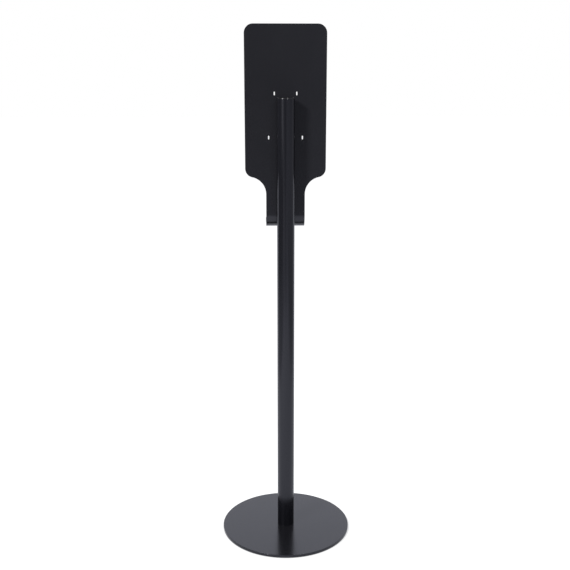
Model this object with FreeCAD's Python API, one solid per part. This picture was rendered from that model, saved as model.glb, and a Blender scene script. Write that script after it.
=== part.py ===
import FreeCAD, Part
import math
import os

from FreeCAD import Vector

# Hand sanitizer floor stand: a weighted disc, a round post and a folded back plate
# that carries the dispenser and ends in a rolled drip shelf.
# Millimetres. +Z is up, the floor is z = 0 and the post stands on the Z axis.
# The plate faces +Y, where the user stands.

# Base disc and what is under it
disc_diameter = 386.0
disc_thickness = 8.0
disc_edge_chamfer = 0.8
pad_count = 6
pad_diameter = 22.0
pad_thickness = 1.0
pad_edge_inset = 16.0

# Post
tube_diameter = 50.0
tube_wall = 1.5
post_top_above_shelf = 369.0

# Foot plug, welded into the lower end of the tube, and the screw that reaches it through the disc
plug_height = 22.0
plug_chamfer = 1.0
plug_clearance = 0.1
foot_screw_diameter = 10.0
foot_screw_length = 25.0
foot_screw_head_diameter = 20.0
foot_screw_socket_flats = 6.0
foot_screw_socket_depth = 3.2
foot_screw_hole_clearance = 0.5

# Cap in the upper end of the tube
cap_flange_thickness = 3.0
cap_rim_chamfer = 1.0
cap_stem_length = 15.0
cap_stem_wall = 1.6
cap_stem_clearance = 0.7
cap_rib_count = 1
cap_rib_height = 1.6
cap_rib_clearance = 0.05

# Folded back plate. Heights on it, and the top of the post, are counted from the underside of the shelf.
shelf_underside_z = 933.0
sheet_thickness = 2.0
sheet_edge_chamfer = 0.4
plate_width = 230.0
plate_height = 567.0
plate_corner_radius = 25.0
shoulder_outer_radius = 25.0
shoulder_inner_radius = 50.0
neck_width = 111.0
neck_height = 97.0
shelf_bend_radius = 38.0
shelf_depth = 112.0
lip_height = 20.0
lip_bend_radius = 12.0
lip_corner_radius = 9.0

# Dispenser slots in the plate
slot_width = 3.2
slot_height = 10.0
upper_slot_spacing = 63.0
upper_slot_above_shelf = 379.5
lower_slot_spacing = 95.4
lower_slot_above_shelf = 257.8

# Saddle spacers, screws and rivet nuts that hold the plate to the post
saddle_names = ("upper_saddle", "lower_saddle")
fixing_drop_from_post_top = 40.0
fixing_pitch = 200.0
saddle_thickness = 3.0
saddle_width = 36.0
saddle_height = 26.0
saddle_corner_radius = 4.0
saddle_clearance = 0.1
plate_screw_diameter = 6.0
plate_screw_length = 20.0
plate_screw_head_diameter = 12.0
plate_screw_socket_flats = 4.0
plate_screw_socket_depth = 1.9
plate_screw_hole_clearance = 0.6
rivet_nut_body_diameter = 9.0
rivet_nut_body_length = 14.5
rivet_nut_flange_diameter = 13.0
rivet_nut_flange_thickness = 1.0
rivet_nut_collar_diameter = 11.6
rivet_nut_collar_height = 3.0
rivet_nut_hole_clearance = 0.2
rivet_nut_recess_clearance = 0.5

# Shared by every screw and its hole
thread_clearance = 0.1
screw_head_sink = 0.2
seat_clearance = 0.05

# Places that follow from the sizes above
disc_radius = disc_diameter / 2
disc_underside_z = pad_thickness
disc_top_z = disc_underside_z + disc_thickness
tube_radius = tube_diameter / 2
tube_bore_radius = tube_radius - tube_wall
post_top_z = shelf_underside_z + post_top_above_shelf
tube_top_z = post_top_z - cap_flange_thickness
plate_rear_y = tube_radius + saddle_thickness
plate_front_y = plate_rear_y + sheet_thickness
plate_half_width = plate_width / 2
plate_top_z = shelf_underside_z + plate_height
neck_top_z = shelf_underside_z + neck_height
lip_top_z = shelf_underside_z + lip_height
upper_slot_z = shelf_underside_z + upper_slot_above_shelf
lower_slot_z = shelf_underside_z + lower_slot_above_shelf
neck_half_width = neck_width / 2
top_fixing_z = post_top_z - fixing_drop_from_post_top
fixing_heights = [top_fixing_z - fixing_pitch * step for step in range(len(saddle_names))]

UP = Vector(0, 0, 1)
TO_USER = Vector(0, 1, 0)
ORIGIN = Vector(0, 0, 0)
MATCH = 0.01


def in_side_view(y, z):
    return Vector(0, y, z)


def in_front_view(x, z):
    return Vector(x, 0, z)


def in_plan_view(x, y):
    return Vector(x, y, 0)


class Pen:
    """Draws one closed outline of straight runs and round arcs in a plane."""

    def __init__(self, view, u, v):
        self.view = view
        self.start = (u, v)
        self.at = (u, v)
        self.edges = []

    def line_to(self, u, v):
        self.edges.append(Part.LineSegment(self.view(*self.at), self.view(u, v)).toShape())
        self.at = (u, v)

    def arc_about(self, centre_u, centre_v, turn):
        """Carries the pen round a centre by an angle in degrees, positive from u towards v."""
        radius = math.hypot(self.at[0] - centre_u, self.at[1] - centre_v)
        began = math.atan2(self.at[1] - centre_v, self.at[0] - centre_u)
        points = []
        for share in (0.5, 1.0):
            angle = began + math.radians(turn) * share
            points.append((centre_u + radius * math.cos(angle), centre_v + radius * math.sin(angle)))
        arc = Part.Arc(self.view(*self.at), self.view(*points[0]), self.view(*points[1]))
        self.edges.append(arc.toShape())
        self.at = points[1]

    def face(self):
        self.line_to(*self.start)
        return Part.Face(Part.Wire(self.edges))


def turned(pen):
    """A solid of revolution about Z from an outline drawn in the front view."""
    return pen.face().revolve(ORIGIN, UP, 360)


def spots_on_circle(count, radius):
    """Evenly spaced places on a circle about the post, the first one on the user's side."""
    step = 2 * math.pi / count
    return [Vector(radius * math.sin(step * i), radius * math.cos(step * i), 0) for i in range(count)]


def hexagon_socket(across_flats, top_z, depth):
    """The six-sided recess for a key, open at its top."""
    corner_radius = across_flats / math.sqrt(3)
    corners = spots_on_circle(6, corner_radius)
    outline = Part.Face(Part.makePolygon(corners + corners[:1]))
    outline.translate(UP * (top_z - depth))
    return outline.extrude(UP * depth)


def countersunk_screw(diameter, length, head_diameter, socket_flats, socket_depth):
    """A screw with a 90 degree head, drawn head up with the top of its head at z = 0."""
    radius = diameter / 2
    head_radius = head_diameter / 2
    pen = Pen(in_front_view, 0, 0)
    pen.line_to(head_radius, 0)
    pen.line_to(radius, radius - head_radius)
    pen.line_to(radius, -length)
    pen.line_to(0, -length)
    return turned(pen).cut(hexagon_socket(socket_flats, 0, socket_depth))


def countersink(hole_radius, head_diameter, axis_start, into):
    """The cone that takes a screw's head, sunk a little below the face that it opens on."""
    mouth_radius = head_diameter / 2 + screw_head_sink + seat_clearance
    return Part.makeCone(mouth_radius, hole_radius, mouth_radius - hole_radius, axis_start, into)


def facing_user(shape, place):
    """Turns a piece that was drawn upright so that its top faces +Y, and puts it in place."""
    shape.rotate(ORIGIN, Vector(1, 0, 0), -90)
    shape.translate(place)
    return shape


def edges_where(shape, wanted):
    """The edges whose two ends both satisfy a test on a point."""
    open_edges = [edge for edge in shape.Edges if len(edge.Vertexes) == 2]
    return [edge for edge in open_edges if all(wanted(end.Point) for end in edge.Vertexes)]


def near(first, second):
    return abs(first - second) < MATCH


def base_disc():
    pen = Pen(in_front_view, 0, disc_underside_z)
    pen.line_to(disc_radius - disc_edge_chamfer, disc_underside_z)
    pen.line_to(disc_radius, disc_underside_z + disc_edge_chamfer)
    pen.line_to(disc_radius, disc_top_z - disc_edge_chamfer)
    pen.line_to(disc_radius - disc_edge_chamfer, disc_top_z)
    pen.line_to(0, disc_top_z)
    disc = turned(pen)
    hole_radius = (foot_screw_diameter + foot_screw_hole_clearance) / 2
    mouth = UP * disc_underside_z
    disc = disc.cut(Part.makeCylinder(hole_radius, disc_thickness, mouth))
    return disc.cut(countersink(hole_radius, foot_screw_head_diameter, mouth, UP))


def floor_pad(place):
    """A thin round rubber pad, stuck to the underside of the disc."""
    return Part.makeCylinder(pad_diameter / 2, pad_thickness, place)


def post_tube():
    length = tube_top_z - disc_top_z
    foot = UP * disc_top_z
    bore = Part.makeCylinder(tube_bore_radius, length, foot)
    tube = Part.makeCylinder(tube_radius, length, foot).cut(bore)
    hole_radius = (rivet_nut_body_diameter + rivet_nut_hole_clearance) / 2
    for height in fixing_heights:
        tube = tube.cut(Part.makeCylinder(hole_radius, tube_radius, Vector(0, 0, height), TO_USER))
    return tube


def foot_plug():
    """The turned steel plug in the foot of the post, tapped right through for the screw from below."""
    radius = tube_bore_radius - plug_clearance
    tapped_radius = foot_screw_diameter / 2 + thread_clearance
    top_z = disc_top_z + plug_height
    pen = Pen(in_front_view, tapped_radius, disc_top_z)
    pen.line_to(radius, disc_top_z)
    pen.line_to(radius, top_z - plug_chamfer)
    pen.line_to(radius - plug_chamfer, top_z)
    pen.line_to(tapped_radius, top_z)
    return turned(pen)


def foot_screw():
    """The screw that comes up through the middle of the disc, head down."""
    screw = countersunk_screw(
        foot_screw_diameter,
        foot_screw_length,
        foot_screw_head_diameter,
        foot_screw_socket_flats,
        foot_screw_socket_depth,
    )
    screw.rotate(ORIGIN, Vector(1, 0, 0), 180)
    screw.translate(UP * (disc_underside_z + screw_head_sink))
    return screw


def top_cap():
    """A moulded cap: a flange on the end of the tube and a hollow ribbed stem inside it."""
    stem_radius = tube_bore_radius - cap_stem_clearance
    rib_radius = tube_bore_radius - cap_rib_clearance
    hollow_radius = stem_radius - cap_stem_wall
    stem_end_z = tube_top_z - cap_stem_length
    rib_pitch = cap_stem_length / (cap_rib_count + 1)
    pen = Pen(in_front_view, 0, post_top_z)
    pen.line_to(0, tube_top_z)
    pen.line_to(hollow_radius, tube_top_z)
    pen.line_to(hollow_radius, stem_end_z)
    pen.line_to(stem_radius, stem_end_z)
    for rib in range(cap_rib_count):
        rib_z = stem_end_z + rib_pitch * (rib + 1)
        pen.line_to(stem_radius, rib_z - cap_rib_height / 2)
        pen.line_to(rib_radius, rib_z)
        pen.line_to(stem_radius, rib_z + cap_rib_height / 2)
    pen.line_to(stem_radius, tube_top_z)
    pen.line_to(tube_radius, tube_top_z)
    pen.line_to(tube_radius, post_top_z - cap_rim_chamfer)
    pen.line_to(tube_radius - cap_rim_chamfer, post_top_z)
    return turned(pen)


def folded_strip():
    """The sheet seen from the side: upright, rolled forward into the shelf, turned up at the lip."""
    bend_y = plate_rear_y + shelf_bend_radius
    bend_z = shelf_underside_z + shelf_bend_radius
    lip_y = plate_rear_y + shelf_depth
    lip_bend_y = lip_y - lip_bend_radius
    lip_bend_z = shelf_underside_z + lip_bend_radius
    pen = Pen(in_side_view, plate_rear_y, plate_top_z)
    pen.line_to(plate_rear_y, bend_z)
    pen.arc_about(bend_y, bend_z, 90)
    pen.line_to(lip_bend_y, shelf_underside_z)
    pen.arc_about(lip_bend_y, lip_bend_z, 90)
    pen.line_to(lip_y, lip_top_z)
    pen.line_to(lip_y - sheet_thickness, lip_top_z)
    pen.line_to(lip_y - sheet_thickness, lip_bend_z)
    pen.arc_about(lip_bend_y, lip_bend_z, -90)
    pen.line_to(bend_y, shelf_underside_z + sheet_thickness)
    pen.arc_about(bend_y, bend_z, -90)
    pen.line_to(plate_front_y, plate_top_z)
    strip = pen.face().extrude(Vector(plate_width, 0, 0))
    strip.translate(Vector(-plate_half_width, 0, 0))
    return strip


def plate_outline():
    """The sheet seen from the front: round corners, S-shaped shoulders and a straight neck.

    Each shoulder is a convex arc that runs into a concave one, so the distance between
    their centres is the sum of their radii.
    """
    corner_x = plate_half_width - plate_corner_radius
    corner_z = plate_top_z - plate_corner_radius
    outer_x = plate_half_width - shoulder_outer_radius
    inner_x = neck_half_width + shoulder_inner_radius
    centres_apart = shoulder_outer_radius + shoulder_inner_radius
    outer_z = neck_top_z + math.sqrt(centres_apart**2 - (inner_x - outer_x) ** 2)
    shoulder_turn = math.degrees(math.acos((inner_x - outer_x) / centres_apart))
    pen = Pen(in_front_view, corner_x, plate_top_z)
    pen.arc_about(corner_x, corner_z, -90)
    pen.line_to(plate_half_width, outer_z)
    pen.arc_about(outer_x, outer_z, -shoulder_turn)
    pen.arc_about(inner_x, neck_top_z, shoulder_turn)
    pen.line_to(neck_half_width, shelf_underside_z)
    pen.line_to(-neck_half_width, shelf_underside_z)
    pen.line_to(-neck_half_width, neck_top_z)
    pen.arc_about(-inner_x, neck_top_z, shoulder_turn)
    pen.arc_about(-outer_x, outer_z, -shoulder_turn)
    pen.line_to(-plate_half_width, corner_z)
    pen.arc_about(-corner_x, corner_z, -90)
    return pen.face().extrude(Vector(0, plate_rear_y + shelf_depth, 0))


def slot_tool(x, z):
    """An upright slot with round ends, long enough to pass through the sheet."""
    radius = slot_width / 2
    end_offset = slot_height / 2 - radius
    pen = Pen(in_front_view, x + radius, z - end_offset)
    pen.line_to(x + radius, z + end_offset)
    pen.arc_about(x, z + end_offset, 180)
    pen.line_to(x - radius, z - end_offset)
    pen.arc_about(x, z - end_offset, 180)
    outline = Part.Face(Part.Wire(pen.edges))
    outline.translate(Vector(0, plate_rear_y, 0))
    return outline.extrude(Vector(0, sheet_thickness, 0))


def plate_screw_hole(height):
    """The hole for one plate screw: a clear bore and a cone that opens on the plate's front face."""
    bore_radius = (plate_screw_diameter + plate_screw_hole_clearance) / 2
    bore = Part.makeCylinder(bore_radius, plate_front_y, Vector(0, 0, height), TO_USER)
    mouth = Vector(0, plate_front_y, height)
    return bore.fuse(countersink(bore_radius, plate_screw_head_diameter, mouth, TO_USER * -1))


def back_plate():
    plate = folded_strip().common(plate_outline())
    lip_ends = edges_where(plate, lambda p: near(abs(p.x), neck_half_width) and near(p.z, lip_top_z))
    lip_corners = [edge for edge in lip_ends if near(edge.Length, sheet_thickness)]
    plate = plate.makeFillet(lip_corner_radius, lip_corners)
    edges_of_faces = [edge for edge in plate.Edges if not near(edge.Length, sheet_thickness)]
    plate = plate.makeChamfer(sheet_edge_chamfer, edges_of_faces)
    for spacing, height in ((upper_slot_spacing, upper_slot_z), (lower_slot_spacing, lower_slot_z)):
        for side in (-1, 1):
            plate = plate.cut(slot_tool(side * spacing / 2, height))
    for height in fixing_heights:
        plate = plate.cut(plate_screw_hole(height))
    return plate


def saddle(height):
    """A moulded spacer, flat against the plate and hollowed to sit on the round post."""
    seat_radius = tube_radius + saddle_clearance
    half_width = saddle_width / 2
    horn_y = math.sqrt(seat_radius**2 - half_width**2)
    horn_angle = math.degrees(math.atan2(horn_y, half_width))
    pen = Pen(in_plan_view, -half_width, plate_rear_y)
    pen.line_to(half_width, plate_rear_y)
    pen.line_to(half_width, horn_y)
    pen.arc_about(0, 0, 180 - 2 * horn_angle)
    block = pen.face().extrude(UP * saddle_height)
    block.translate(UP * (height - saddle_height / 2))
    side_edges = edges_where(block, lambda p: near(abs(p.x), half_width))
    corners = [edge for edge in side_edges if near(edge.Length, plate_rear_y - horn_y)]
    block = block.makeFillet(saddle_corner_radius, corners)
    block = block.cut(plate_screw_hole(height))
    recess_radius = (rivet_nut_flange_diameter + rivet_nut_recess_clearance) / 2
    recess_y = tube_radius + rivet_nut_flange_thickness
    return block.cut(Part.makeCylinder(recess_radius, recess_y, Vector(0, 0, height), TO_USER))


def rivet_nut(height):
    """Set in the wall of the post: a flange outside and an upset collar inside."""
    bore_radius = plate_screw_diameter / 2 + thread_clearance
    body_radius = rivet_nut_body_diameter / 2
    flange_radius = rivet_nut_flange_diameter / 2
    collar_radius = rivet_nut_collar_diameter / 2
    wall_at_collar = math.sqrt(tube_bore_radius**2 - collar_radius**2) - tube_radius
    collar_top = wall_at_collar - seat_clearance
    pen = Pen(in_front_view, bore_radius, rivet_nut_flange_thickness)
    pen.line_to(bore_radius, -rivet_nut_body_length)
    pen.line_to(body_radius, -rivet_nut_body_length)
    pen.line_to(body_radius, collar_top - rivet_nut_collar_height)
    pen.line_to(collar_radius, collar_top - rivet_nut_collar_height)
    pen.line_to(collar_radius, collar_top)
    pen.line_to(body_radius, collar_top)
    pen.line_to(body_radius, 0)
    pen.line_to(flange_radius, 0)
    pen.line_to(flange_radius, rivet_nut_flange_thickness)
    return facing_user(turned(pen), Vector(0, tube_radius, height))


def plate_screw(height):
    """A screw through the plate and the saddle, its head just below the plate's front face."""
    screw = countersunk_screw(
        plate_screw_diameter,
        plate_screw_length,
        plate_screw_head_diameter,
        plate_screw_socket_flats,
        plate_screw_socket_depth,
    )
    return facing_user(screw, Vector(0, plate_front_y - screw_head_sink, height))


def all_pieces():
    """Every node of the stand, by name."""
    pad_circle_radius = disc_radius - pad_edge_inset - pad_diameter / 2
    pieces = {"base_disc": base_disc()}
    for number, place in enumerate(spots_on_circle(pad_count, pad_circle_radius), start=1):
        pieces[f"floor_pad_{number}"] = floor_pad(place)
    pieces["post_tube"] = post_tube()
    pieces["post_foot_plug"] = foot_plug()
    pieces["foot_screw"] = foot_screw()
    pieces["post_top_cap"] = top_cap()
    pieces["back_plate"] = back_plate()
    for name, height in zip(saddle_names, fixing_heights):
        pieces[name] = saddle(height)
    pieces["rivet_nuts"] = Part.makeCompound([rivet_nut(height) for height in fixing_heights])
    pieces["plate_screws"] = Part.makeCompound([plate_screw(height) for height in fixing_heights])
    return pieces


def main():
    os.makedirs("parts", exist_ok=True)
    for name, shape in all_pieces().items():
        shape.exportStep(f"parts/{name}.step")
        state = "valid" if shape.isValid() else "not valid"
        print(name, len(shape.Solids), "solid", round(shape.Volume), "mm3", state)


main()
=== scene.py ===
import math

import bmesh
import bpy
import numpy as np
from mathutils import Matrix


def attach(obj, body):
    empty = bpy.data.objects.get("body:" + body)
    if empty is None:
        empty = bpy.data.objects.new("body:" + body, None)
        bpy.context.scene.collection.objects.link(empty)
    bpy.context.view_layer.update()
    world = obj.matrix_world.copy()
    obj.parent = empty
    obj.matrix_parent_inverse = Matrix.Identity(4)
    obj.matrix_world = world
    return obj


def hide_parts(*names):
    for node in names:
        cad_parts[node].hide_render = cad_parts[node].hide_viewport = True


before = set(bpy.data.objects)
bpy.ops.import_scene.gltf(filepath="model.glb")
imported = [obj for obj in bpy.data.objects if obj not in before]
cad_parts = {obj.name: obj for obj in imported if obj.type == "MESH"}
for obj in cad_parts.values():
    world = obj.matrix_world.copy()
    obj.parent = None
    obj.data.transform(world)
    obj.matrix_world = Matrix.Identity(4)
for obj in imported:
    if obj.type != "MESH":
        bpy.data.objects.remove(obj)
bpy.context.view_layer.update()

mm = 0.001
print("stage 1: frame loaded,", len(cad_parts), "nodes")


# shader maths
# a socket that takes part in sums: each operator adds one Math node
class Wire:
    def __init__(self, tree, socket):
        self.tree = tree
        self.socket = socket

    def maths(self, operation, *values):
        made = self.tree.node("ShaderNodeMath", {"operation": operation}, *values)
        return Wire(self.tree, made.outputs[0])

    def __add__(self, other):
        return self.maths("ADD", self, other)

    def __radd__(self, other):
        return self.maths("ADD", other, self)

    def __sub__(self, other):
        return self.maths("SUBTRACT", self, other)

    def __rsub__(self, other):
        return self.maths("SUBTRACT", other, self)

    def __mul__(self, other):
        return self.maths("MULTIPLY", self, other)

    def __rmul__(self, other):
        return self.maths("MULTIPLY", other, self)

    def __abs__(self):
        return self.maths("ABSOLUTE", self)

    def atLeast(self, other):
        return self.maths("MAXIMUM", self, other)

    # 0 below low, 1 above high, a soft step between them
    def step(self, low, high):
        settings = {"interpolation_type": "SMOOTHSTEP"}
        made = self.tree.node("ShaderNodeMapRange", settings, self, low, high, 0.0, 1.0)
        return Wire(self.tree, made.outputs[0])


# a node tree that is filled through one method
class Tree:
    def __init__(self, owner):
        owner.use_nodes = True
        self.nodes = owner.node_tree.nodes
        self.links = owner.node_tree.links
        self.nodes.clear()

    # type, then settings, then the values or links of its sockets, by order or by name
    def node(self, kind, settings=None, *byOrder, **byName):
        made = self.nodes.new(kind)
        for key, value in (settings or {}).items():
            setattr(made, key, value)
        wanted = list(enumerate(byOrder)) + [(k.replace("_", " "), v) for k, v in byName.items()]
        for key, value in wanted:
            if isinstance(value, Wire):
                self.links.new(value.socket, made.inputs[key])
            elif isinstance(value, bpy.types.NodeSocket):
                self.links.new(value, made.inputs[key])
            elif value is not None:
                made.inputs[key].default_value = value
        return made

    def wire(self, kind, settings, output, *byOrder, **byName):
        return Wire(self, self.node(kind, settings, *byOrder, **byName).outputs[output])

    def objectPoint(self):
        return self.wire("ShaderNodeTexCoord", None, "Object")

    def noise(self, point, scale, detail, roughness=0.5):
        return self.wire(
            "ShaderNodeTexNoise", None, 0, Vector=point, Scale=scale, Detail=detail, Roughness=roughness
        )

    # relief of the given depth from a height between 0 and 1
    def bump(self, height, depth):
        return self.wire("ShaderNodeBump", None, 0, Strength=1.0, Distance=depth, Height=height)

    # a mix of two colours by a factor; the colour sockets of this node are told by index
    def blend(self, factor, first, second):
        made = self.node("ShaderNodeMix", {"data_type": "RGBA"})
        self.links.new(factor.socket, made.inputs[0])
        for index, colour in ((6, first), (7, second)):
            if isinstance(colour, Wire):
                self.links.new(colour.socket, made.inputs[index])
            else:
                made.inputs[index].default_value = (*colour, 1)
        return Wire(self, made.outputs[2])


# materials
powderCoat = {
    "tint": (0.88, 0.89, 1.0),
    "cloudScale": 9,
    "cloudShare": 0.7,
    "cloudRoughness": 0.06,
    "peelScale": 620,
    "peelRoughness": 0.05,
    "peelDepth": 0.012 * mm,
    "grainScale": 2600,
    "grainShare": 0.25,
}
coatOn = {
    "Sheet": {"dark": (0.0088, 0.0088, 0.0105), "light": (0.0118, 0.0117, 0.0136), "roughness": 0.22},
    "Tube": {"dark": (0.0068, 0.0070, 0.0092), "light": (0.0094, 0.0094, 0.0119), "roughness": 0.18},
    "Disc": {"dark": (0.0090, 0.0091, 0.0110), "light": (0.0120, 0.0120, 0.0144), "roughness": 0.21},
}
mouldedPlastic = {
    "dark": (0.010, 0.010, 0.011),
    "light": (0.014, 0.014, 0.015),
    "roughness": 0.2,
    "sparkScale": 1900,
    "sparkDepth": 0.02 * mm,
    "flowScale": 60,
    "flowRoughness": 0.1,
}
padRubber = {
    "dark": (0.012, 0.012, 0.012),
    "light": (0.030, 0.030, 0.029),
    "roughness": 0.78,
    "dustScale": 220,
    "dustRoughness": 0.12,
    "fineScale": 2400,
    "fineDepth": 0.03 * mm,
}
zincPlate = {
    "cool": (0.52, 0.55, 0.60),
    "warm": (0.62, 0.60, 0.55),
    "roughness": 0.32,
    "tintScale": 90,
    "hazeScale": 160,
    "hazeRoughness": 0.3,
    "hazeDepth": 0.01 * mm,
}
blackOxide = {
    "dark": (0.012, 0.012, 0.013),
    "light": (0.035, 0.033, 0.032),
    "metallic": 0.6,
    "roughness": 0.36,
    "hazeScale": 420,
    "hazeRoughness": 0.2,
    "hazeDepth": 0.01 * mm,
}


def closeWith(tree, **sockets):
    shader = tree.node("ShaderNodeBsdfPrincipled", None, **sockets)
    tree.node("ShaderNodeOutputMaterial", None, shader.outputs[0])


# black powder coat: flow ripples a millimetre or two long, a finer grain, faint clouds in tone and gloss
def powderMaterial(part):
    material = bpy.data.materials.new("powderCoatOn" + part)
    tree = Tree(material)
    point = tree.objectPoint()
    clouds = tree.noise(point, powderCoat["cloudScale"], 3.0)
    peel = tree.noise(point, powderCoat["peelScale"], 1.0)
    grain = tree.noise(point, powderCoat["grainScale"], 1.0)
    specks = grain.step(0.66, 0.74)
    mottle = clouds * powderCoat["cloudShare"] + specks * (1 - powderCoat["cloudShare"])
    cloudy = (clouds - 0.5) * powderCoat["cloudRoughness"]
    rippled = (peel - 0.5) * powderCoat["peelRoughness"]
    closeWith(
        tree,
        Base_Color=tree.blend(mottle, coatOn[part]["dark"], coatOn[part]["light"]),
        Roughness=coatOn[part]["roughness"] + cloudy + rippled,
        Normal=tree.bump(peel + grain * powderCoat["grainShare"], powderCoat["peelDepth"]),
        Specular_Tint=(*powderCoat["tint"], 1),
    )
    return material


# moulded black plastic with a spark-eroded texture
def plasticMaterial(name):
    material = bpy.data.materials.new(name)
    tree = Tree(material)
    point = tree.objectPoint()
    spark = tree.noise(point, mouldedPlastic["sparkScale"], 2.0, 0.6)
    flow = tree.noise(point, mouldedPlastic["flowScale"], 2.0)
    closeWith(
        tree,
        Base_Color=tree.blend((spark + flow) * 0.5, mouldedPlastic["dark"], mouldedPlastic["light"]),
        Roughness=mouldedPlastic["roughness"] + (flow - 0.5) * mouldedPlastic["flowRoughness"],
        Normal=tree.bump(spark, mouldedPlastic["sparkDepth"]),
    )
    return material


# black rubber, greyed a little where dust clings
def rubberMaterial(name):
    material = bpy.data.materials.new(name)
    tree = Tree(material)
    point = tree.objectPoint()
    dust = tree.noise(point, padRubber["dustScale"], 4.0, 0.6).step(0.42, 0.7)
    fine = tree.noise(point, padRubber["fineScale"], 1.0)
    closeWith(
        tree,
        Base_Color=tree.blend(dust, padRubber["dark"], padRubber["light"]),
        Roughness=padRubber["roughness"] + dust * padRubber["dustRoughness"],
        Normal=tree.bump(fine, padRubber["fineDepth"]),
    )
    return material


# bright zinc: a cool and a warm tint drift over it, with a matt haze
def zincMaterial(name):
    material = bpy.data.materials.new(name)
    tree = Tree(material)
    point = tree.objectPoint()
    tint = tree.noise(point, zincPlate["tintScale"], 2.0).step(0.35, 0.65)
    haze = tree.noise(point, zincPlate["hazeScale"], 4.0, 0.65)
    closeWith(
        tree,
        Base_Color=tree.blend(tint, zincPlate["cool"], zincPlate["warm"]),
        Metallic=1.0,
        Roughness=zincPlate["roughness"] + (haze - 0.5) * zincPlate["hazeRoughness"],
        Normal=tree.bump(haze, zincPlate["hazeDepth"]),
    )
    return material


# black oxide on steel: nearly black, paler where it is rubbed thin
def oxideMaterial(name):
    material = bpy.data.materials.new(name)
    tree = Tree(material)
    point = tree.objectPoint()
    haze = tree.noise(point, blackOxide["hazeScale"], 3.0, 0.6)
    closeWith(
        tree,
        Base_Color=tree.blend(haze.step(0.35, 0.75), blackOxide["dark"], blackOxide["light"]),
        Metallic=blackOxide["metallic"],
        Roughness=blackOxide["roughness"] + (haze - 0.5) * blackOxide["hazeRoughness"],
        Normal=tree.bump(haze, blackOxide["hazeDepth"]),
    )
    return material


sheetCoat = powderMaterial("Sheet")
tubeCoat = powderMaterial("Tube")
discCoat = powderMaterial("Disc")
plastic = plasticMaterial("blackPlastic")
rubber = rubberMaterial("blackRubber")
zinc = zincMaterial("zincPlatedSteel")
oxide = oxideMaterial("blackOxideSteel")
print("stage 2: materials ready")


# surfaces worked out on grids
shell = {"mergeWithin": 0.001 * mm, "sharpOver": 38}


# every piece is a closed shell: shared points are merged and the faces turned outwards
def addPiece(name, points, faces, material, nodes):
    mesh = bpy.data.meshes.new(name)
    mesh.from_pydata(points.tolist(), [], faces)
    loose = bmesh.new()
    loose.from_mesh(mesh)
    bmesh.ops.remove_doubles(loose, verts=loose.verts, dist=shell["mergeWithin"])
    bmesh.ops.recalc_face_normals(loose, faces=loose.faces)
    loose.to_mesh(mesh)
    loose.free()
    mesh.materials.append(material)
    mesh.shade_smooth()
    mesh.set_sharp_from_angle(angle=math.radians(shell["sharpOver"]))
    piece = bpy.data.objects.new(name, mesh)
    bpy.context.scene.collection.objects.link(piece)
    shading = piece.modifiers.new("evenShading", "WEIGHTED_NORMAL")
    shading.keep_sharp = True
    shading.weight = 100
    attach(piece, "root")
    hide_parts(*nodes)


# quads between neighbouring rings of a grid, each ring closed on itself
def ringFaces(ringCount, around, closeLast):
    ring = np.arange(ringCount if closeLast else ringCount - 1)[:, None]
    step = np.arange(around)[None, :]
    after = (ring + 1) % ringCount
    nextStep = (step + 1) % around
    here, there = ring * around, after * around
    corners = (here + step, here + nextStep, there + nextStep, there + step)
    return np.stack(corners, axis=-1).reshape(-1, 4).tolist()


# a closed profile with its corners rounded: at each corner an arc that touches both sides,
# so it begins radius / tan(half the inner angle) before the corner
def roundedProfile(corners, radii, steps=6):
    at = np.array(corners, float)
    radius = np.array(radii, float)
    before = np.roll(at, 1, axis=0) - at
    after = np.roll(at, -1, axis=0) - at
    before /= np.linalg.norm(before, axis=1, keepdims=True)
    after /= np.linalg.norm(after, axis=1, keepdims=True)
    half = np.arccos(np.clip((before * after).sum(axis=1), -1, 1)) / 2
    reach = radius / np.tan(half)
    middle = before + after
    middle /= np.maximum(np.linalg.norm(middle, axis=1, keepdims=True), 1e-9)
    centre = at + middle * (radius / np.sin(half))[:, None]
    first = at + before * reach[:, None] - centre
    last = at + after * reach[:, None] - centre
    sweep = np.maximum(math.pi - 2 * half, 1e-6)[:, None, None]
    share = np.linspace(0, 1, steps)[None, :, None]
    fromFirst = np.sin((1 - share) * sweep) * first[:, None]
    arc = (fromFirst + np.sin(share * sweep) * last[:, None]) / np.sin(sweep)
    outline = [arc[i] + centre[i] if radius[i] > 0 else at[i:i + 1] for i in range(len(at))]
    return np.concatenate(outline)


# a surface of revolution: each profile point (r, z) goes round the axis, x = r sin a, y = r cos a
def turnedPoints(profile, around):
    angle = np.linspace(0, 2 * math.pi, around, endpoint=False)[None, :]
    r = profile[:, 0][:, None]
    z = np.broadcast_to(profile[:, 1][:, None], (len(profile), around))
    return np.stack((r * np.sin(angle), r * np.cos(angle), z), axis=-1)


# rings to a closed mesh: the last ring joins the first, or each end closes in one point on the axis
def closeRings(rings, poles):
    count, around = rings.shape[:2]
    points = rings.reshape(-1, 3)
    faces = ringFaces(count, around, closeLast=not poles)
    if poles:
        step = np.arange(around)
        nextStep = (step + 1) % around
        low, high = len(points), len(points) + 1
        points = np.concatenate((points, rings[:1].mean(axis=1), rings[-1:].mean(axis=1)))
        faces += np.stack((np.full(around, low), nextStep, step), axis=-1).tolist()
        base = (count - 1) * around
        faces += np.stack((np.full(around, high), base + step, base + nextStep), axis=-1).tolist()
    return points, faces


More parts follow.
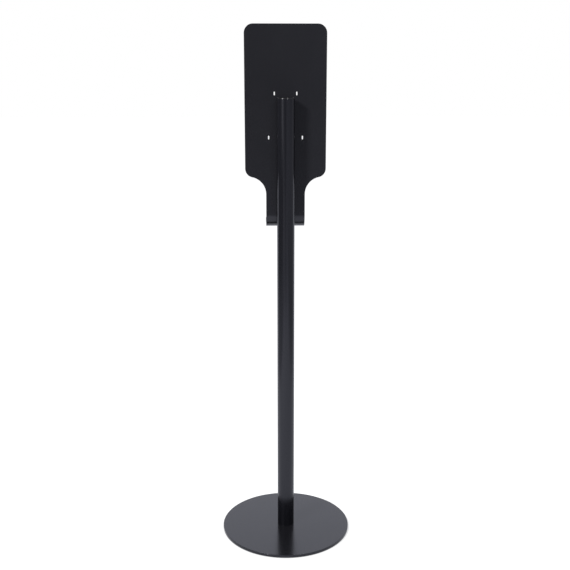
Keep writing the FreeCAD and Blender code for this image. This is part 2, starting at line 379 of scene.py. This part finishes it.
# how far a ray from the middle goes to a rectangle with round corners; with the corner as large
# as the half sizes this is a circle, and with only one as large it is a slot with round ends
def rayToRoundRect(angle, halfX, halfZ, corner):
    across, up = np.abs(np.sin(angle)), np.abs(np.cos(angle))
    toSide = halfX / np.maximum(across, 1e-9)
    toEnd = halfZ / np.maximum(up, 1e-9)
    reach = np.minimum(toSide, toEnd)
    centreX, centreZ = halfX - corner, halfZ - corner
    inCorner = (reach * across > centreX) & (reach * up > centreZ)
    along = across * centreX + up * centreZ
    rest = along ** 2 - centreX ** 2 - centreZ ** 2 + corner ** 2
    return np.where(inCorner, along + np.sqrt(np.maximum(rest, 0)), reach)


# parts of one surface in one list; addPiece merges the points that they share
def joinParts(parts):
    points, faces, start = [], [], 0
    for partPoints, partFaces in parts:
        points.append(partPoints.reshape(-1, 3))
        faces += (np.array(partFaces) + start).tolist()
        start += len(points[-1])
    return np.concatenate(points), faces


# base disc and pads
disc = {
    "radius": 193.0,
    "low": 1.0,
    "high": 9.0,
    "edge": 0.8,
    "rimBand": 8.0,
    "holeRadius": 5.25,
    "mouthRadius": 10.25,
    "mouthEdge": 0.2,
    "around": 256,
}
pads = {"count": 6, "radius": 11.0, "thickness": 1.0, "edge": 0.3, "circle": 166.0, "around": 48}
poleRadius = 0.5


def baseDisc():
    mouthDepth = disc["mouthRadius"] - disc["holeRadius"]
    flatRadius = disc["radius"] - disc["rimBand"]
    corners = [
        (disc["holeRadius"], disc["low"] + mouthDepth),
        (disc["mouthRadius"], disc["low"]),
        (flatRadius, disc["low"]),
        (disc["radius"], disc["low"]),
        (disc["radius"], disc["high"]),
        (flatRadius, disc["high"]),
        (disc["holeRadius"], disc["high"]),
    ]
    radii = (0, disc["mouthEdge"], 0, disc["edge"], disc["edge"], 0, 0)
    profile = roundedProfile(corners, radii) * mm
    points, faces = closeRings(turnedPoints(profile, disc["around"]), poles=False)
    addPiece("BaseDisc", points, faces, discCoat, ["base_disc"])


def floorPad(number):
    radius, thickness = pads["radius"], pads["thickness"]
    corners = [(poleRadius, 0), (radius, 0), (radius, thickness), (poleRadius, thickness)]
    profile = roundedProfile(corners, (0, pads["edge"], pads["edge"] / 3, 0)) * mm
    rings = turnedPoints(profile, pads["around"])
    angle = 2 * math.pi * number / pads["count"]
    rings = rings + np.array((math.sin(angle), math.cos(angle), 0)) * pads["circle"] * mm
    points, faces = closeRings(rings, poles=True)
    name = f"floor_pad_{number + 1}"
    addPiece(f"FloorPad{number + 1}", points, faces, rubber, [name])


baseDisc()
for padNumber in range(pads["count"]):
    floorPad(padNumber)
print("stage 3: base disc and pads")


# post and its cap
post = {
    "radius": 25.0,
    "wall": 1.5,
    "foot": 9.0,
    "top": 1299.0,
    "edge": 0.4,
    "boreEdge": 0.3,
    "around": 128,
}
cap = {
    "rim": 2.6,
    "seatEdge": 0.3,
    "hollowEdge": 0.8,
    "stemEdge": (0.3, 0.6),
    "stemRoot": 0.2,
    "flange": 3.0,
    "stemRadius": 22.8,
    "stemWall": 1.6,
    "stemLength": 15.0,
    "ribRadius": 23.45,
    "ribHeight": 1.6,
    "ribEdge": 0.3,
    "around": 128,
}


def postTube():
    inner, outer = post["radius"] - post["wall"], post["radius"]
    low, high = post["foot"], post["top"]
    corners = [(inner, low), (outer, low), (outer, high), (inner, high)]
    radii = (post["boreEdge"], post["edge"], post["edge"], post["boreEdge"])
    profile = roundedProfile(corners, radii, 4) * mm
    points, faces = closeRings(turnedPoints(profile, post["around"]), poles=False)
    addPiece("PostTube", points, faces, tubeCoat, ["post_tube"])


def topCap():
    top = post["top"] + cap["flange"]
    stemEnd = post["top"] - cap["stemLength"]
    ribMiddle = post["top"] - cap["stemLength"] / 2
    hollow = cap["stemRadius"] - cap["stemWall"]
    corners = [
        (poleRadius, post["top"]),
        (hollow, post["top"]),
        (hollow, stemEnd),
        (cap["stemRadius"], stemEnd),
        (cap["stemRadius"], ribMiddle - cap["ribHeight"] / 2),
        (cap["ribRadius"], ribMiddle),
        (cap["stemRadius"], ribMiddle + cap["ribHeight"] / 2),
        (cap["stemRadius"], post["top"]),
        (post["radius"], post["top"]),
        (post["radius"], top),
        (post["radius"] / 2, top),
        (poleRadius, top),
    ]
    stem = (cap["hollowEdge"], *cap["stemEdge"], 0, cap["ribEdge"], 0, cap["stemRoot"])
    profile = roundedProfile(corners, (0, *stem, cap["seatEdge"], cap["rim"], 0, 0), 8) * mm
    points, faces = closeRings(turnedPoints(profile, cap["around"]), poles=True)
    addPiece("PostTopCap", points, faces, plastic, ["post_top_cap"])


postTube()
topCap()
print("stage 4: post and cap")


# folded back plate
plate = {
    "rear": 28.0,
    "thickness": 2.0,
    "top": 1500.0,
    "underside": 933.0,
    "halfWidth": 115.0,
    "corner": 25.0,
    "shoulderOuter": 25.0,
    "shoulderInner": 50.0,
    "neckHalf": 55.5,
    "neckHeight": 97.0,
    "bend": 38.0,
    "depth": 112.0,
    "lipHeight": 20.0,
    "lipBend": 12.0,
    "lipCorner": 9.0,
    "edgeRound": 0.75,
}
slots = {
    "halfWidth": 1.6,
    "halfHeight": 5.0,
    "edge": 0.45,
    "upper": (31.5, 1312.5),
    "lower": (47.7, 1190.8),
}
screwMouth = {"radius": 4.25, "cone": 2.0, "heights": (1262.0, 1062.0)}
# the grid on the sheet: half sizes of the cells round the holes, columns between them, spacing of rows
weave = {
    "inner": 40.0,
    "slotCell": 10.0,
    "screwCell": 11.0,
    "slotSide": 6.0,
    "columns": (15.5, 20.5),
    "firstOuter": 0.27,
    "row": 12.0,
    "before": 4.0,
    "after": 8.0,
}


# lengths along the outer face, from the top edge down to the end of the lip
def sheetLengths():
    down = plate["top"] - plate["underside"] - plate["bend"]
    rolled = down + plate["bend"] * math.pi / 2
    flatEnd = rolled + plate["depth"] - plate["bend"] - plate["lipBend"]
    curled = flatEnd + plate["lipBend"] * math.pi / 2
    return down, rolled, flatEnd, curled, curled + plate["lipHeight"] - plate["lipBend"]


# the sheet's surface: walked is the length along the outer face, x runs across, depth goes into the sheet.
# The heading turns by the roll's angle and then by the curl's; the inward direction is square to it.
def sheetPoint(walked, x, depth):
    down, rolled, flatEnd, curled, total = sheetLengths()
    bend, lipBend = plate["bend"], plate["lipBend"]
    roll = np.clip(walked - down, 0, rolled - down) / bend
    curl = np.clip(walked - flatEnd, 0, curled - flatEnd) / lipBend
    y = plate["rear"] + bend * (1 - np.cos(roll)) + np.clip(walked - rolled, 0, flatEnd - rolled)
    y = y + lipBend * np.sin(curl)
    z = plate["top"] - np.minimum(walked, down) - bend * np.sin(roll)
    z = z + lipBend * (1 - np.cos(curl)) + np.maximum(walked - curled, 0)
    y = y + depth * np.cos(roll + curl)
    z = z + depth * np.sin(roll + curl)
    return np.stack(np.broadcast_arrays(x, y, z), axis=-1) * mm


# rows of the grid for an outline drawn in by inset: walked and half width of each row.
# Corner, side, convex shoulder, concave shoulder, neck with its bends, lip corner.
def sheetRows(inset):
    down, rolled, flatEnd, curled, total = sheetLengths()
    top, corner, lipCorner = plate["top"], plate["corner"], plate["lipCorner"]
    outerX = plate["halfWidth"] - plate["shoulderOuter"]
    innerX = plate["neckHalf"] + plate["shoulderInner"]
    innerZ = plate["underside"] + plate["neckHeight"]
    apart = plate["shoulderOuter"] + plate["shoulderInner"]
    outerZ = innerZ + math.sqrt(apart ** 2 - (innerX - outerX) ** 2)
    turn = math.acos((innerX - outerX) / apart)
    quarter = np.linspace(0, math.pi / 2, 13)
    cellRows = np.linspace(-1, 1, 9)
    upperCell = top - slots["upper"][1] + cellRows * weave["slotCell"]
    screwCell = top - screwMouth["heights"][0] + cellRows * weave["screwCell"]
    lowerCell = top - slots["lower"][1] + cellRows * weave["slotCell"]
    ends = (corner, *upperCell[[0, -1]], *screwCell[[0, -1]], *lowerCell[[0, -1]], top - outerZ)
    plain = [
        np.arange(start + weave["after"], end - weave["before"], weave["row"])
        for start, end in zip(ends[::2], ends[1::2])
    ]
    side = np.sort(np.concatenate((upperCell, screwCell, lowerCell, *plain)))
    convex = np.linspace(0, turn, 15)
    concave = np.linspace(turn, 0, 25)[1:]
    neck = np.concatenate((
        np.arange(top - innerZ + weave["row"] / 2, down - weave["before"], weave["row"]),
        np.linspace(down, rolled, 25),
        np.linspace(rolled, flatEnd, 7)[1:-1],
        np.linspace(flatEnd, curled, 13)[:-1],
    ))
    lip = np.linspace(0, math.pi / 2, 9)
    walked = np.concatenate((
        corner - (corner - inset) * np.cos(quarter),
        side,
        top - outerZ + (plate["shoulderOuter"] - inset) * np.sin(convex),
        top - innerZ - (plate["shoulderInner"] + inset) * np.sin(concave),
        neck,
        total - lipCorner + (lipCorner - inset) * np.sin(lip),
    ))
    half = np.concatenate((
        plate["halfWidth"] - corner + (corner - inset) * np.sin(quarter),
        np.full(len(side), plate["halfWidth"] - inset),
        outerX + (plate["shoulderOuter"] - inset) * np.cos(convex),
        innerX - (plate["shoulderInner"] + inset) * np.cos(concave),
        np.full(len(neck), plate["neckHalf"] - inset),
        plate["neckHalf"] - lipCorner + (lipCorner - inset) * np.cos(lip),
    ))
    return walked, half


# columns: those in the middle keep their x, the outer ones stretch to the row's half width
def sheetColumns(half):
    upper = slots["upper"][0] + np.linspace(-1, 1, 7) * weave["slotSide"]
    lower = slots["lower"][0] + np.linspace(-1, 1, 7) * weave["slotSide"]
    screw = np.linspace(0, 1, 5) * weave["screwCell"]
    middle = np.concatenate((screw, weave["columns"], upper, (weave["inner"],)))
    span = plate["halfWidth"] - weave["inner"]
    outer = np.linspace(weave["firstOuter"], 1, 9)
    stretch = np.concatenate(((lower - weave["inner"]) / span, outer))
    right = weave["inner"] + stretch[None, :] * (half[:, None] - weave["inner"])
    right = np.concatenate((np.broadcast_to(middle, (len(half), len(middle))), right), axis=1)
    return np.concatenate((-right[:, :0:-1], right), axis=1)


def sheetGrid(inset, depth):
    walked, half = sheetRows(inset)
    return sheetPoint(walked[:, None], sheetColumns(half), depth)


# once round the outline, from the left end of the top row
def rimOf(grid):
    return np.concatenate((grid[0, :-1], grid[:-1, -1], grid[-1, :0:-1], grid[:0:-1, 0]))


# how an edge is rounded through the sheet: pairs of inset and depth, a quarter circle at each face
def edgeProfile(roundness, steps=5):
    turn = np.linspace(0, math.pi / 2, steps)
    inset = roundness * (1 - np.sin(turn))
    depth = roundness * (1 - np.cos(turn))
    return list(zip(inset, depth)) + list(zip(inset[::-1], plate["thickness"] - depth[::-1]))


# a hole in its own cell of the grid: rings blend from the cell's border to the hole's outline,
# then follow the profile through the sheet
def holeParts(walked, columns, middleX, middleZ, cell, halfX, halfZ, corner, profile):
    rows = [int(np.abs(walked - (plate["top"] - middleZ + side * cell[1])).argmin()) for side in (-1, 1)]
    xs = columns[rows[0]]
    cols = [int(np.abs(xs - (middleX + side * cell[0])).argmin()) for side in (-1, 1)]
    block = (slice(rows[0], rows[1] + 1), slice(cols[0], cols[1] + 1))
    borderX = rimOf(columns[block])
    borderWalked = rimOf(np.broadcast_to(walked[:, None], columns.shape)[block])
    centre = plate["top"] - middleZ
    angle = np.arctan2(borderX - middleX, centre - borderWalked)

    def outline(extra):
        reach = rayToRoundRect(angle, halfX + extra, halfZ + extra, corner + extra)
        return middleX + reach * np.sin(angle), centre - reach * np.cos(angle)

    def ring(share, extra, depth):
        holeX, holeWalked = outline(extra)
        x = borderX + (holeX - borderX) * share
        return sheetPoint(borderWalked + (holeWalked - borderWalked) * share, x, depth)

    shares = (0, 0.3, 0.6, 0.85)
    rings = [ring(share, *profile[0]) for share in shares]
    rings += [ring(1, *pair) for pair in profile]
    rings += [ring(share, *profile[-1]) for share in shares[::-1]]
    return np.stack(rings), block


# every hole as the arguments of holeParts: middle, cell, half sizes, corner and profile
def sheetHoles():
    thickness, mouth, cone = plate["thickness"], screwMouth["radius"], screwMouth["cone"]
    slotCell = (weave["slotSide"], weave["slotCell"])
    screwCell = (weave["screwCell"], weave["screwCell"])
    wide, high = slots["halfWidth"], slots["halfHeight"]
    slotProfile = edgeProfile(slots["edge"])
    coneProfile = [(0.15, 0), (0.03, 0.06), (0.03, 0.1)]
    coneProfile += [(cone - 0.15, thickness - 0.1), (cone + 0.1, thickness)]
    holes = []
    for x, z in (slots["upper"], slots["lower"]):
        holes += [(side * x, z, slotCell, wide, high, wide, slotProfile) for side in (-1, 1)]
    for z in screwMouth["heights"]:
        holes.append((0, z, screwCell, mouth, mouth, mouth, coneProfile))
    return holes


# two faces with cells left open for the holes, the holes' own rings, and a band round the outline
def backPlate():
    roundness = plate["edgeRound"]
    profile = edgeProfile(roundness)
    walked, half = sheetRows(roundness)
    columns = sheetColumns(half)
    count, across = columns.shape
    filled = np.ones((count - 1, across - 1), bool)
    parts = []
    for hole in sheetHoles():
        rings, block = holeParts(walked, columns, *hole)
        parts.append((rings, ringFaces(len(rings), rings.shape[1], closeLast=False)))
        filled[block[0].start:block[0].stop - 1, block[1].start:block[1].stop - 1] = False
    row, col = np.nonzero(filled)
    here, below = row * across + col, (row + 1) * across + col
    corners = np.stack((here, here + 1, below + 1, below), axis=-1)
    for depth in (0, plate["thickness"]):
        parts.append((sheetGrid(roundness, depth), corners.tolist()))
    band = np.stack([rimOf(sheetGrid(*pair)) for pair in profile])
    parts.append((band, ringFaces(len(band), band.shape[1], closeLast=False)))
    points, faces = joinParts(parts)
    addPiece("BackPlate", points, faces, sheetCoat, ["back_plate"])


backPlate()
print("stage 5: back plate")

# saddles between the plate and the post
saddleBlock = {
    "halfWidth": 18.0,
    "halfHeight": 13.0,
    "corner": 4.0,
    "edge": 0.5,
    "seat": 25.1,
    "front": 28.0,
    "bore": 3.3,
    "recess": 6.75,
    "recessFloor": 26.0,
    "around": 144,
}


# a block between a flat face and a round seat, y = sqrt(seat^2 - x^2); rings go from the bore
# over the seat, round the outside, back over the front face and down the screw's cone
def saddle(name, node, height):
    block = saddleBlock
    angle = np.linspace(0, 2 * math.pi, block["around"], endpoint=False)
    rings = []

    def addRing(reach, y):
        x = reach * np.sin(angle)
        depth = np.sqrt(block["seat"] ** 2 - x ** 2) if y is None else np.full_like(x, y)
        rings.append(np.stack((x, depth, height + reach * np.cos(angle)), axis=-1) * mm)

    def outline(inset):
        wide, high, corner = (block[key] - inset for key in ("halfWidth", "halfHeight", "corner"))
        return rayToRoundRect(angle, wide, high, corner)

    addRing(block["bore"], block["recessFloor"])
    addRing(block["recess"], block["recessFloor"])
    addRing(block["recess"], None)
    rim = outline(block["edge"])
    for share in (0.3, 0.65, 1):
        addRing(block["recess"] + (rim - block["recess"]) * share, None)
    turn = np.linspace(0, math.pi / 2, 5)
    for t in turn[1:]:
        reach = outline(block["edge"] * (1 - math.sin(t)))
        edgeX = reach * np.sin(angle)
        y = np.sqrt(block["seat"] ** 2 - edgeX ** 2) + block["edge"] * (1 - math.cos(t))
        rings.append(np.stack((edgeX, y, height + reach * np.cos(angle)), axis=-1) * mm)
    for t in turn[::-1]:
        front = block["front"] - block["edge"] * (1 - math.cos(t))
        addRing(outline(block["edge"] * (1 - math.sin(t))), front)
    addRing(screwMouth["radius"], block["front"])
    addRing(block["bore"], block["front"] - (screwMouth["radius"] - block["bore"]))
    points, faces = closeRings(np.stack(rings), poles=False)
    addPiece(name, points, faces, plastic, [node])


saddle("UpperSaddle", "upper_saddle", screwMouth["heights"][0])
saddle("LowerSaddle", "lower_saddle", screwMouth["heights"][1])
print("stage 6: saddles")

# screws
plateScrews = {"radius": 3.0, "length": 20.0, "head": 6.0, "socket": 4.0, "socketDepth": 1.9}
footScrew = {"radius": 5.0, "length": 25.0, "head": 10.0, "socket": 6.0, "socketDepth": 3.2}
screwsAround = 96
screwSink = 0.2


# a countersunk screw, head up with its top at height 0. Round rings keep one radius; the socket's rings
# follow a hexagon, whose reach is half the flats / cos(the angle from the nearest flat)
def screwRings(screw):
    angle = np.linspace(0, 2 * math.pi, screwsAround, endpoint=False)
    fromFlat = (angle + math.pi / 6) % (math.pi / 3) - math.pi / 6
    hexagon = screw["socket"] / 2 / np.cos(fromFlat)
    r, head, length, depth = screw["radius"], screw["head"], screw["length"], screw["socketDepth"]
    turned = [
        (0.3, -length),
        (r - 0.6, -length),
        (r, -length + 0.6),
        (r, r - head - 0.3),
        (r + 0.1, r - head),
        (head - 0.35, -0.35),
        (head - 0.08, -0.18),
        (head - 0.12, -0.05),
        (head - 0.3, 0),
        (head - 1.2, 0),
    ]
    socket = [(1.08, 0), (1.0, -0.12), (1.0, 0.05 - depth), (0.93, -depth), (0.3, -depth - 0.25)]
    reaches = [(np.full_like(angle, reach), z) for reach, z in turned]
    reaches += [(hexagon * scale, z) for scale, z in socket]
    rings = [(reach * np.sin(angle), reach * np.cos(angle), np.full_like(angle, z)) for reach, z in reaches]
    return np.stack([np.stack(ring, axis=-1) for ring in rings])


def addPlateScrews():
    parts = []
    front = plate["rear"] + plate["thickness"] - screwSink
    x, y, z = np.moveaxis(screwRings(plateScrews), -1, 0)
    for height in screwMouth["heights"]:
        parts.append(closeRings(np.stack((x, z + front, height - y), axis=-1) * mm, poles=True))
    points = np.concatenate([part[0] for part in parts])
    faces = parts[0][1] + [[corner + len(parts[0][0]) for corner in face] for face in parts[1][1]]
    addPiece("PlateScrews", points, faces, oxide, ["plate_screws"])


def addFootScrew():
    low = disc["low"] + screwSink
    x, y, z = np.moveaxis(screwRings(footScrew), -1, 0)
    points, faces = closeRings(np.stack((x, -y, low - z), axis=-1) * mm, poles=True)
    addPiece("FootScrew", points, faces, zinc, ["foot_screw"])


addPlateScrews()
addFootScrew()
for nodeName in ("post_foot_plug", "rivet_nuts"):
    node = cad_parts[nodeName]
    node.data.materials.clear()
    node.data.materials.append(zinc)
print("stage 7: screws and steel fittings")

# floor, backdrop and light
# places in metres, levels as a share of plain white; pairs are where a soft step begins and ends
paper = {
    "half": 1.37,
    "front": -2.7,
    "soft": 0.12,
    "spread": 0.42,
    "glow": 0.96,
    "glowBeyond": 0.06,
    "mirrored": 0.70,
    "white": 0.36,
    "whiteBeyond": 0.10,
    "albedo": 0.8,
    # reach and depth of the painted contact shadow: ambient occlusion darkens the floor's glow near the
    # stand
    "paintedShadowReach": 0.03,
    "paintedShadowDark": 0.7,
}
dimFloor = {
    "left": 0.08,
    "right": 0.30,
    "fromMiddle": (0.1, 1.0),
    "farRight": 0.12,
    "farFrom": (1.5, 4.0),
    "ahead": 0.30,
    "aheadFrom": (-12.0, -4.0),
    "aheadMiddle": -0.6,
    "aheadHalf": (1.6, 3.2),
}
room = {
    "cool": (0.93, 0.95, 1.04),
    "backdrop": 1.27,
    "backdropFrom": (0.33, 0.47),
    "backdropLean": 0.6,
    "left": 0.13,
    "right": 0.30,
    "rightFrom": (-0.05, 0.25),
    "behind": 0.08,
    "behindFrom": (-0.3, 0.1),
    "wallRight": 0.26,
    "wallFoot": (0, 0.1),
    "wallHead": (0.25, 0.45),
    "fill": 0.22,
}
lamps = [
    # name, azimuth in degrees from the camera's side towards +X, then distance, height, width, tall,
    # watts and the height it is aimed at
    ("keyLeft", -46, 2.3, 2.6, 0.45, 0.45, 80, 1.1),
    ("keyRight", 27, 2.3, 2.6, 0.4, 0.4, 15, 1.1),
    ("panelLeft", -45, 2.2, 1.5, 0.9, 1.0, 1.9, 1.5),
    ("panelLow", -28, 2.2, 0.75, 0.5, 0.8, 0.40, 0.75),
]


# camera rays, and mirrored or refracted ones, see the plain white background
def sightOf(tree):
    path = tree.node("ShaderNodeLightPath").outputs
    kinds = ("Camera", "Glossy", "Transmission")
    seen, glossy, through = (Wire(tree, path[f"Is {kind} Ray"]) for kind in kinds)
    return seen, glossy.atLeast(through)


# white paper sweep under and behind the stand, with a painted contact shadow that darkens its glow where
# the stand nearly touches it; past its edges mirrored rays find a dim studio floor. Seen from below it is
# clear, so the underside can be looked at.
def floorMaterial():
    material = bpy.data.materials.new("paperFloor")
    tree = Tree(material)
    place = tree.node("ShaderNodeSeparateXYZ", None, tree.objectPoint())
    x, y = (Wire(tree, place.outputs[i]) for i in (0, 1))
    soft = paper["soft"]
    inSide = 1 - abs(x).step(paper["half"] - soft, paper["half"] + soft)
    inFront = y.step(paper["front"] - soft, paper["front"] + soft)
    behind = (y - abs(x) * paper["spread"]).step(0, 2 * soft)
    onPaper = inSide.atLeast(behind) * inFront
    camera, mirrored = sightOf(tree)
    right = x.step(*dimFloor["fromMiddle"]) * (dimFloor["right"] - dimFloor["left"])
    farRight = x.step(*dimFloor["farFrom"]) * dimFloor["farRight"]
    inLine = 1 - abs(x - dimFloor["aheadMiddle"]).step(*dimFloor["aheadHalf"])
    ahead = y.step(*dimFloor["aheadFrom"]) * inLine * dimFloor["ahead"]
    dim = dimFloor["left"] + right + farRight + ahead
    inMirror = dim + onPaper * (paper["mirrored"] - dim)
    inView = paper["glow"] + (1 - onPaper) * paper["glowBeyond"]
    # painted contact shadow: ambient occlusion near the stand scales down the floor's emission for camera
    # and mirrored rays
    openness = tree.wire("ShaderNodeAmbientOcclusion", None, "AO", Distance=paper["paintedShadowReach"])
    paintedContactShadow = 1 - (1 - openness) * paper["paintedShadowDark"]
    strength = (inMirror + camera * (inView - inMirror)) * paintedContactShadow
    glow = tree.node("ShaderNodeEmission", None, tree.blend(camera, room["cool"], (1, 1, 1)), strength)
    white = tree.blend(onPaper, (paper["whiteBeyond"],) * 3, (paper["white"],) * 3)
    sheen = tree.node("ShaderNodeBsdfDiffuse", None, white)
    lit = tree.node("ShaderNodeAddShader", None, sheen.outputs[0], glow.outputs[0])
    plain = tree.node("ShaderNodeBsdfDiffuse", None, (paper["albedo"],) * 3 + (1,))
    sight = camera.atLeast(mirrored)
    top = tree.node("ShaderNodeMixShader", None, sight, plain.outputs[0], lit.outputs[0])
    clear = tree.node("ShaderNodeBsdfTransparent")
    back = tree.wire("ShaderNodeNewGeometry", None, "Backfacing")
    both = tree.node("ShaderNodeMixShader", None, back, top.outputs[0], clear.outputs[0])
    tree.node("ShaderNodeOutputMaterial", None, both.outputs[0])
    return material


def addFloor():
    size = 30.0
    low = -0.05 * mm
    corners = [(-size, -size, low), (size, -size, low), (size, size, low), (-size, size, low)]
    mesh = bpy.data.meshes.new("floor")
    mesh.from_pydata(corners, [], [(0, 1, 2, 3)])
    mesh.materials.append(floorMaterial())
    floor = bpy.data.objects.new("floor", mesh)
    bpy.context.scene.collection.objects.link(floor)


# the air round the stand: white where the backdrop hangs, elsewhere a dim room that is brighter to the
# right, with a lighter band of wall low on that side, and an even fill for matt light
def addWorld():
    world = bpy.data.worlds.new("studio")
    bpy.context.scene.world = world
    tree = Tree(world)
    heading = tree.node("ShaderNodeSeparateXYZ", None, tree.wire("ShaderNodeTexCoord", None, "Generated"))
    x, y, z = (Wire(tree, heading.outputs[i]) for i in range(3))
    backdrop = (y - z.atLeast(0) * room["backdropLean"]).step(*room["backdropFrom"])
    camera, mirrored = sightOf(tree)
    seen = camera.atLeast(mirrored * backdrop)
    side = x.step(*room["rightFrom"])
    base = room["left"] + side * (room["right"] - room["left"])
    base = base + (2 * side - 1) * y.step(*room["behindFrom"]) * room["behind"]
    wall = z.step(*room["wallFoot"]) * (1 - z.step(*room["wallHead"])) * side * room["wallRight"]
    level = mirrored * (base + wall) + (1 - mirrored) * room["fill"]
    dim = tree.node("ShaderNodeBackground", None, (*room["cool"], 1), level)
    glow = room["backdrop"] + camera * (1 - room["backdrop"])
    white = tree.node("ShaderNodeBackground", None, tree.blend(camera, room["cool"], (1, 1, 1)), glow)
    mixed = tree.node("ShaderNodeMixShader", None, seen, dim.outputs[0], white.outputs[0])
    tree.node("ShaderNodeOutputWorld", None, mixed.outputs[0])


def addLamp(name, azimuth, distance, height, width, tall, watts, aimedAt):
    data = bpy.data.lights.new(name, "AREA")
    data.shape = "RECTANGLE"
    data.size, data.size_y = width, tall
    data.energy = watts
    lamp = bpy.data.objects.new(name, data)
    turn = math.radians(azimuth)
    lamp.location = (math.sin(turn) * distance, -math.cos(turn) * distance, height)
    pitch = math.atan2(height - aimedAt, distance)
    lamp.rotation_euler = (math.pi / 2 - pitch, 0, turn)
    bpy.context.scene.collection.objects.link(lamp)


addFloor()
addWorld()
for lamp in lamps:
    addLamp(*lamp)
print("stage 8: floor, backdrop and lamps")

# camera
camera = {"place": (-0.07813, -2.40435, 1.34772), "down": 0.2360942, "heading": 0.0314935, "lens": 53.684}


def addCamera():
    data = bpy.data.cameras.new("photoCamera")
    data.sensor_width = 36
    data.lens = camera["lens"]
    view = bpy.data.objects.new("photoCamera", data)
    view.location = camera["place"]
    view.rotation_euler = (math.pi / 2 - camera["down"], 0, -camera["heading"])
    bpy.context.scene.collection.objects.link(view)
    bpy.context.scene.camera = view


addCamera()
bpy.context.scene.view_settings.view_transform = "Standard"
